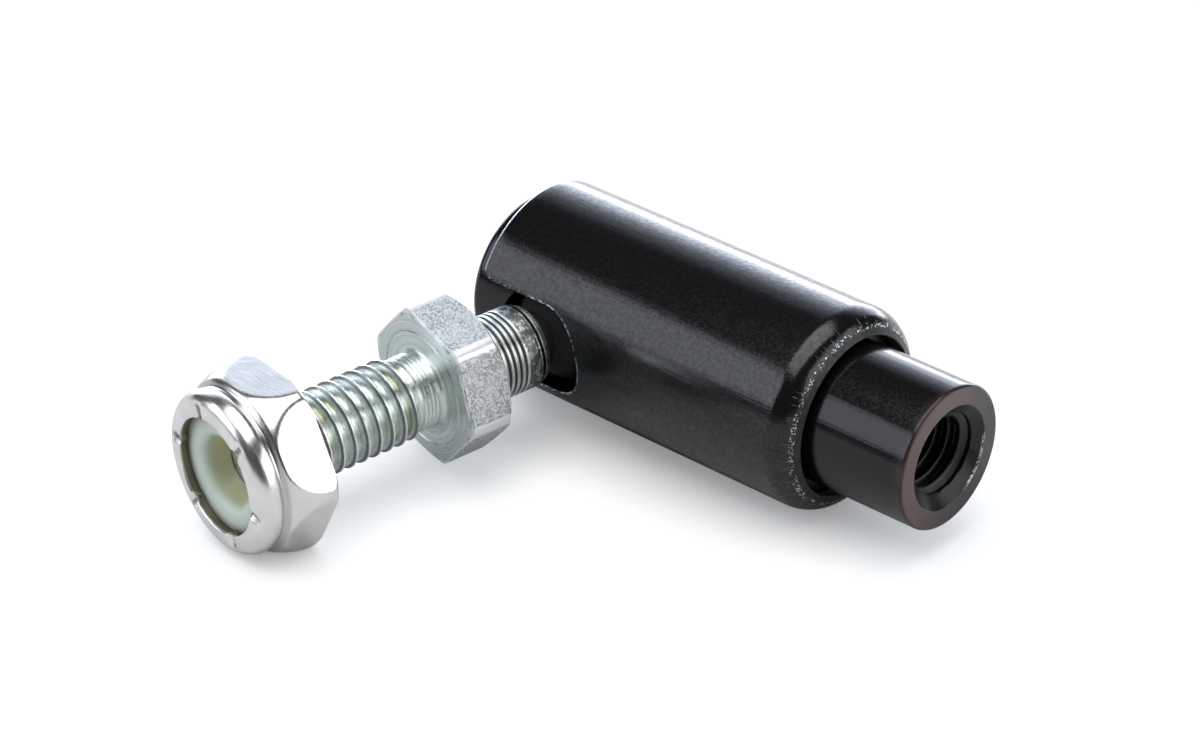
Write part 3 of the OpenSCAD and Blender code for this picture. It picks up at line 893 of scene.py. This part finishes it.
zincFinish = {
    # crest, corner, hex edge, land and slope are lighter as painted highlights; dark is painted shade beside
    # the crests and in the grooves, and the mottle's own colour
    "colour": (0.67, 0.745, 0.725), "second": (0.73, 0.79, 0.77), "stain": (0.4, 0.41, 0.3),
    "crest": (0.82, 0.86, 0.86), "dark": (0.07, 0.08, 0.08), "flat": (0.74, 0.77, 0.8),
    "pit": (0.24, 0.25, 0.27), "corner": (0.84, 0.86, 0.88), "hexEdgeHighlight": (0.92, 0.94, 0.95),
    "ring": (0.3, 0.35, 0.34),
    "landHighlight": (0.92, 0.95, 0.94), "slope": (0.85, 0.9, 0.88), "line": (0.02, 0.02, 0.02),
    "ballDark": (0.003, 0.003, 0.003), "ballDarkRough": 0.4, "roughSpread": (0.26, 0.4), "hexRough": 0.1,
    "pits": (8.0, 0.48), "mottle": (2.4, 0.44), "mottleAt": 4.4, "mottleReach": 0.5, "pastCrest": 0.12,
}


def threadMasks(tree, lathe, s, finish):
    # the crests, lighter as a painted highlight, the roots, and a line of painted shade beside each crest on
    # the nut's side
    onThread = rangeNode(tree, lathe["Along"], s["threadFrom"] - 0.2, s["threadFrom"])
    crest = rangeNode(tree, lathe["Radius"], s["thread"] - 0.07, s["thread"] - 0.01)
    root = rangeNode(tree, lathe["Radius"], s["thread"] - 0.2, s["thread"] - s["threadDeep"])
    crestTurns = mathNode(
        tree, "MULTIPLY_ADD", lathe["Along"], 1 / s["threadPitch"], -s["crestAt"] / s["threadPitch"])
    turns = mathNode(tree, "MULTIPLY_ADD", lathe["Turn"], -1 / math.tau, crestTurns)
    line = bandNode(tree, mathNode(tree, "FRACT", turns), finish["pastCrest"], 0.035, 0.04)
    offEnd = rangeNode(tree, lathe["Radius"], s["thread"] - 0.4, s["thread"] - 0.3)
    masks = (crest, root, productNode(tree, line, offEnd))
    return [productNode(tree, onThread, mask) for mask in masks]


def hexMasks(tree, lathe, s):
    # the flats with the corners between them, the corners alone, and the edge round the outer face; the
    # corners and the edge carry painted highlights
    half = s["hexFlats"] / 2
    onHex = productNode(
        tree, rangeNode(tree, lathe["Radius"], half - 0.06, half - 0.01),
        bandNode(tree, lathe["Along"], (s["hexFrom"] + s["hexTo"]) / 2, 1.42, 0.05))
    turns = mathNode(tree, "MULTIPLY_ADD", lathe["Turn"], 3 / math.pi, 6 - s["hexRoll"] / 60)
    fromCorner = mathNode(tree, "ABSOLUTE", mathNode(tree, "SUBTRACT", mathNode(tree, "FRACT", turns), 0.5))
    corner = productNode(tree, onHex, rangeNode(tree, fromCorner, 0.085, 0.075))
    fromMiddle = productNode(tree, mathNode(tree, "SUBTRACT", 0.5, fromCorner), math.pi / 3)
    flatReach = productNode(tree, lathe["Radius"], mathNode(tree, "COSINE", fromMiddle))
    hexEdgeHighlight = productNode(
        tree, rangeNode(tree, flatReach, half - 0.13, half - 0.09),
        bandNode(tree, lathe["Along"], s["hexTo"] - 0.08, 0.07, 0.04))
    return onHex, corner, hexEdgeHighlight


def makeZincPlate(s, finish):
    material, tree, shader = newMaterial("zincPlate")
    place = localPlace(tree, studPlace)
    lathe = useGroup(tree, latheCoords, {"Place": place})
    grain = useGroup(tree, drawnGrain, {"Place": place, "Grain": 5.0, "Lines": 5.0})
    # lighter crests are a painted highlight and the dark line beside them is painted shade
    crest, root, crestShadeLine = threadMasks(tree, lathe, s, finish)
    stain = productNode(tree, root, rangeNode(tree, grain["Cloud"], 0.42, 0.62))
    # pits gather in patches on the drawn flats and stay off the smooth corners, which are also lighter as a
    # painted highlight
    onHex, corner, hexEdgeHighlight = hexMasks(tree, lathe, s)
    pitCloud = rangeNode(tree, noiseNode(tree, place, 0.9, 2.0), 0.35, 0.6, 0.6, 1.0)
    onFlats = mathNode(tree, "SUBTRACT", onHex, productNode(tree, corner, 0.9))
    pits = specksOn(tree, place, productNode(tree, pitCloud, onFlats), *finish["pits"])
    # the ball and its waist are near-black, rougher and not metal
    onBall = rangeNode(tree, lathe["Along"], s["collarFrom"] - 0.01, s["collarFrom"] - 0.05)
    # painted shade in the collar's grooves and painted highlights on the lands between them, then a mottled
    # band, a dark line and a bright slope that is a painted highlight
    grooved = bandNode(
        tree, lathe["Along"], s["grooveFrom"] + 2.5 * s["grooveStep"], 3 * s["grooveStep"], 0.1)
    grooveShade = productNode(
        tree, rangeNode(tree, lathe["Radius"], s["collar"] - 0.02, s["collar"] - 0.06), grooved)
    landHighlight = productNode(tree, grooved, bandNode(tree, lathe["Radius"], s["collar"], 0.02, 0.02))
    onCollar = bandNode(tree, lathe["Along"], finish["mottleAt"], finish["mottleReach"], 0.15)
    mottle = specksOn(tree, place, onCollar, *finish["mottle"])
    slope = bandNode(tree, lathe["Along"], s["collarFrom"] + 0.2, 0.19, 0.05)
    slopeLine = bandNode(tree, lathe["Along"], s["collarFrom"] + 0.5, 0.05, 0.06)
    # rings turned on the hexagon's face, lines turned on the shank
    ringPlace = addNode(tree, "ShaderNodeCombineXYZ", {"X": lathe["Radius"]}).outputs[0]
    rings = noiseNode(tree, ringPlace, 9.0, 3.0, 0.7)
    onFace = productNode(
        tree, rangeNode(tree, lathe["Radius"], s["relief"] + 0.1, s["relief"] + 0.3),
        bandNode(tree, lathe["Along"], s["hexTo"], 0.1, 0.1))
    faceRings = productNode(tree, onFace, rangeNode(tree, rings, 0.42, 0.6))
    linePlace = addNode(tree, "ShaderNodeCombineXYZ", {"X": lathe["Along"]}).outputs[0]
    turnedLines = noiseNode(tree, linePlace, 7.0, 3.0, 0.7)
    onShank = rangeNode(tree, lathe["Radius"], s["thread"] + 0.3, s["thread"] + 0.1)
    base = mixColour(tree, rangeNode(tree, grain["Cloud"], 0.35, 0.65), finish["colour"], finish["second"])
    base = layColours(tree, base, (
        (stain, 1.0, finish["stain"]), (crest, 1.0, finish["crest"]), (crestShadeLine, 0.75, finish["dark"]),
        (onHex, 0.8, finish["flat"]), (pits, 0.75, finish["pit"]), (corner, 1.0, finish["corner"]),
        (hexEdgeHighlight, 1.0, finish["hexEdgeHighlight"]), (faceRings, 0.5, finish["ring"]), (landHighlight, 1.0, finish["landHighlight"]),
        (grooveShade, 0.95, finish["dark"]), (onBall, 1.0, finish["ballDark"]), (mottle, 0.7, finish["dark"]),
        (slope, 1.0, finish["slope"]), (slopeLine, 1.0, finish["line"]),
    ))
    roughness = rangeNode(tree, grain["Grain"], 0.3, 0.7, *finish["roughSpread"])
    roughness = mathNode(tree, "MULTIPLY_ADD", onHex, finish["hexRough"], roughness)
    roughness = mathNode(tree, "MULTIPLY_ADD", onBall, finish["ballDarkRough"], roughness)
    relief = bumpNode(tree, productNode(tree, rings, onFace), 0.05, 0.9)
    relief = bumpNode(tree, productNode(tree, turnedLines, onShank), 0.05, 0.9, relief)
    relief = bumpNode(tree, mathNode(tree, "SUBTRACT", 1.0, pits), 0.04, 0.6, relief)
    metal = mathNode(tree, "SUBTRACT", 1.0, onBall)
    finishMaterial(tree, shader, base, roughness, metal, relief)
    return material


# stainless steel of the nut

steelFinish = {
    "colour": (0.83, 0.815, 0.8), "light": (0.9, 0.885, 0.87), "roughSpread": (0.19, 0.27),
    # the colours for the hollow, the rim's inside and the stake marks are painted shade, the rim's inside
    # also a painted reflection of the insert
    "hollowShade": (0.3, 0.29, 0.29), "hollowAt": 2.55, "hollowShare": 0.45,
    "wall": (0.13, 0.115, 0.07), "wallShare": 0.9, "mark": (0.16, 0.15, 0.14), "markShare": 0.8,
}


def markShadeLines(tree, lathe, s):
    # painted shade: a dark line down one side of each stake mark
    shift = s["marks"] + 0.5 - s["markAt"] * s["marks"] / 360
    turns = mathNode(tree, "MULTIPLY_ADD", lathe["Turn"], s["marks"] / math.tau, shift)
    return productNode(
        tree, bandNode(tree, mathNode(tree, "FRACT", turns), 0.515, 0.02, 0.025),
        bandNode(tree, lathe["Radius"], s["mouth"] + 0.25, 0.35, 0.25),
        rangeNode(tree, lathe["Along"], s["seat"] + 0.15, s["seat"] + 0.25))


def makeStainless(s, finish):
    material, tree, shader = newMaterial("stainless")
    place = localPlace(tree, nutPlace)
    lathe = useGroup(tree, latheCoords, {"Place": place})
    # fine lines run round the nut
    slowTurn = productNode(tree, lathe["Turn"], 0.25)
    brushInputs = {"X": lathe["Along"], "Y": lathe["Radius"], "Z": slowTurn}
    brushPlace = addNode(tree, "ShaderNodeCombineXYZ", brushInputs).outputs[0]
    brushed = noiseNode(tree, brushPlace, 9.0, 3.0, 0.65)
    cloud = noiseNode(tree, place, 0.8, 2.0)
    # the inside of the rim is darkened as a painted reflection of the dark insert and painted shade, and the
    # hollow under the crown is darker as painted shade
    wall = productNode(
        tree, rangeNode(tree, lathe["Radius"], s["mouth"] + 0.06, s["mouth"] + 0.02),
        rangeNode(tree, lathe["Along"], s["top"] - 0.06, s["top"] - 0.2))
    hollowShade = productNode(
        tree, bandNode(tree, lathe["Along"], finish["hollowAt"], 0.08, 0.3),
        rangeNode(tree, lathe["Radius"], s["flats"] / 2 + 0.05, s["flats"] / 2 - 0.1))
    tone = mixColour(tree, rangeNode(tree, cloud, 0.35, 0.65), finish["colour"], finish["light"])
    colour = layColours(tree, tone, (
        (hollowShade, finish["hollowShare"], finish["hollowShade"]),
        (markShadeLines(tree, lathe, s), finish["markShare"], finish["mark"]),
        (wall, finish["wallShare"], finish["wall"]),
    ))
    roughness = rangeNode(tree, brushed, 0.3, 0.7, *finish["roughSpread"])
    relief = bumpNode(tree, brushed, 0.02, 0.5)
    shader.inputs["Metallic"].default_value = 1
    finishMaterial(tree, shader, colour, roughness, None, relief)
    return material


# nylon of the insert

nylonFinish = {
    # deep and rim are painted shade colours
    "colour": (0.64, 0.74, 0.66), "second": (0.7, 0.78, 0.7), "deep": (0.55, 0.55, 0.34),
    "rim": (0.34, 0.36, 0.26), "rimFrom": 2.7, "rimTo": 3.4, "roughSpread": (0.3, 0.45),
    "glow": 0.5, "glowReach": (0.6, 0.7, 0.5),
}


def makeNylon(s, finish):
    material, tree, shader = newMaterial("nylon")
    place = localPlace(tree, nutPlace)
    lathe = useGroup(tree, latheCoords, {"Place": place})
    grain = useGroup(tree, drawnGrain, {"Place": place, "Grain": 3.0, "Lines": 3.0})
    # painted shade: the insert is darker and more olive deeper in its bore, and darker towards the nut's rim
    deep = rangeNode(tree, lathe["Along"], s["to"] - 0.1, s["to"] - 0.9)
    rimShade = rangeNode(tree, lathe["Radius"], finish["rimFrom"], finish["rimTo"])
    tone = mixColour(tree, rangeNode(tree, grain["Cloud"], 0.35, 0.65), finish["colour"], finish["second"])
    colour = layColours(tree, tone, ((deep, 1.0, finish["deep"]), (rimShade, 1.0, finish["rim"])))
    roughness = rangeNode(tree, grain["Grain"], 0.3, 0.7, *finish["roughSpread"])
    relief = bumpNode(tree, grain["Grain"], 0.02, 0.2)
    shader.inputs["Subsurface Weight"].default_value = finish["glow"]
    shader.inputs["Subsurface Radius"].default_value = [reach * mm for reach in finish["glowReach"]]
    shader.inputs["Subsurface Scale"].default_value = 1
    finishMaterial(tree, shader, colour, roughness, None, relief)
    return material


# oiled steel of the spring and the retaining ring

springFinish = {"colour": (0.3, 0.3, 0.32), "second": (0.22, 0.21, 0.2), "roughSpread": (0.25, 0.42)}


def makeSpringSteel(finish):
    material, tree, shader = newMaterial("springSteel")
    place = localPlace(tree, sleevePlace)
    grain = useGroup(tree, drawnGrain, {"Place": place, "Grain": 5.0, "Lines": 4.0})
    colour = mixColour(tree, rangeNode(tree, grain["Cloud"], 0.35, 0.65), finish["colour"], finish["second"])
    roughness = rangeNode(tree, grain["Grain"], 0.3, 0.7, *finish["roughSpread"])
    relief = bumpNode(tree, grain["Lines"], 0.02, 0.2)
    shader.inputs["Metallic"].default_value = 1
    finishMaterial(tree, shader, colour, roughness, None, relief)
    return material


def dress(piece, material):
    piece.data.materials.clear()
    piece.data.materials.append(material)


dress(sleeve, makeBlackSleeve(sleeveSizes, sleeveWear))
dress(body, makeBlackBody(bodySizes, bodyWear))
dress(stud, makeZincPlate(studSizes, zincFinish))
dress(nut, makeStainless(nutSizes, steelFinish))
dress(insert, makeNylon(insertSizes, nylonFinish))
springSteel = makeSpringSteel(springFinish)
dress(spring, springSteel)
dress(frame["nodes"]["retaining_ring"], springSteel)
print("materials made")


# floor, light and camera

floorLook = {
    "size": 3, "colour": (0.66, 0.66, 0.66), "lift": 0.46, "tint": (0.98, 1, 1.02),
    "nearReach": 0.006, "nearLift": 0.5, "behind": 0.008, "behindSoft": 0.002,
}


def makeFloor(look):
    bpy.ops.object.select_all(action="DESELECT")
    bpy.ops.mesh.primitive_plane_add(size=look["size"], location=(0, 0, cadBounds[0].z))
    floor = bpy.context.object
    floor.name = "floor"
    material, tree, shader = newMaterial("paleFloor")
    shader.inputs["Base Color"].default_value = (*look["colour"], 1)
    shader.inputs["Roughness"].default_value = 1
    shader.inputs["Specular IOR Level"].default_value = 0
    # the floor shines to the camera, less where the part lies close as a painted contact shadow, and to
    # glossy rays behind the sleeve as a painted highlight along the sleeve's upper edge
    path = addNode(tree, "ShaderNodeLightPath").outputs
    near = addNode(tree, "ShaderNodeAmbientOcclusion", {"Distance": look["nearReach"]}, samples=4)
    clear = rangeNode(tree, near.outputs["AO"], 0.1, 0.5, look["nearLift"], 1.0)
    coords = addNode(tree, "ShaderNodeTexCoord").outputs["Object"]
    inward = addNode(tree, "ShaderNodeSeparateXYZ", {0: coords}).outputs["Y"]
    edge, soft = look["behind"], look["behindSoft"]
    behind = rangeNode(tree, inward, edge - soft, edge + soft)
    toCamera = productNode(tree, path["Is Camera Ray"], clear)
    seen = mathNode(tree, "MULTIPLY_ADD", path["Is Glossy Ray"], behind, toCamera)
    tree.links.new(productNode(tree, seen, look["lift"]), shader.inputs["Emission Strength"])
    shader.inputs["Emission Color"].default_value = (*look["tint"], 1)
    dress(floor, material)


# directions are degrees round from -Y towards +X and degrees above the floor, as seen from the part
softboxes = {
    "frontBox": {"way": (-42, 24.8), "wide": 40, "high": 32.5, "shine": 2.1, "tint": (0.92, 0.97, 1.07)},
    "sideBox": {"way": (107, 20), "wide": 62, "high": 36, "shine": 2.0, "tint": (1, 1, 1)},
    "topBox": {"way": (-9, 84), "wide": 50, "high": 64, "shine": 2.6, "tint": (1, 1, 1)},
    "backFoot": {"way": (-142, 2), "wide": 80, "high": 12, "shine": 8.2, "tint": (0.92, 0.97, 1.04)},
    "backLow": {"way": (-142, 15), "wide": 80, "high": 14, "shine": 3.5, "tint": (0.84, 0.94, 1.1)},
    "backMiddle": {"way": (-142, 27), "wide": 80, "high": 10, "shine": 1.4, "tint": (0.84, 0.94, 1.1)},
    "backHigh": {"way": (-142, 37), "wide": 80, "high": 10, "shine": 0.5, "tint": (0.84, 0.94, 1.1)},
}
lightDistance = 0.6
worldShine = 0.06


def makeLights():
    middle = (cadBounds[0] + cadBounds[1]) / 2
    for name, box in softboxes.items():
        turn, rise = (math.radians(angle) for angle in box["way"])
        way = Vector((math.sin(turn) * math.cos(rise), -math.cos(turn) * math.cos(rise), math.sin(rise)))
        lamp = bpy.data.lights.new(name, "AREA")
        lamp.shape = "RECTANGLE"
        lamp.size = 2 * lightDistance * math.tan(math.radians(box["wide"] / 2))
        lamp.size_y = 2 * lightDistance * math.tan(math.radians(box["high"] / 2))
        lamp.energy = box["shine"] * math.pi * lamp.size * lamp.size_y
        lamp.color = box["tint"]
        holder = bpy.data.objects.new(name, lamp)
        holder.location = middle + way * lightDistance
        holder.rotation_mode = "QUATERNION"
        holder.rotation_quaternion = (-way).to_track_quat("-Z", "Y")
        bpy.context.scene.collection.objects.link(holder)
    world = bpy.data.worlds.new("studio")
    bpy.context.scene.world = world
    world.use_nodes = True
    sky = world.node_tree.nodes["Background"].inputs
    sky["Color"].default_value = (1, 1, 1, 1)
    sky["Strength"].default_value = worldShine


# the picture's own pixels place the aim point, which lies on the sleeve's axis
cameraSet = {
    "around": 42.0, "above": 30.885, "distance": 220, "aim": (-22.81, 0, 0),
    "focalPixels": 4004, "aimPixel": (609.1, 305.76), "picture": (1200, 748), "sensor": 36,
}


def makeCamera(c):
    around, above = math.radians(c["around"]), math.radians(c["above"])
    level = math.cos(above)
    ahead = Vector((-math.sin(around) * level, math.cos(around) * level, -math.sin(above)))
    right = Vector((math.cos(around), math.sin(around), 0))
    upward = right.cross(ahead)
    perPixel = c["distance"] / c["focalPixels"]
    aside = (c["aimPixel"][0] - c["picture"][0] / 2) * perPixel
    below = (c["aimPixel"][1] - c["picture"][1] / 2) * perPixel
    eye = Vector(c["aim"]) - c["distance"] * ahead - aside * right + below * upward
    lens = bpy.data.cameras.new("camera")
    lens.sensor_width = c["sensor"]
    lens.lens = c["focalPixels"] / c["picture"][0] * c["sensor"]
    lens.clip_start = 0.01
    lens.clip_end = 10
    camera = bpy.data.objects.new("camera", lens)
    turned = Matrix((right, upward, -ahead)).transposed().to_4x4()
    camera.matrix_world = Matrix.Translation(eye * mm) @ turned
    bpy.context.scene.collection.objects.link(camera)
    bpy.context.scene.camera = camera


makeFloor(floorLook)
makeLights()
makeCamera(cameraSet)
bpy.context.scene.view_settings.view_transform = "Standard"
print("floor, light and camera set")
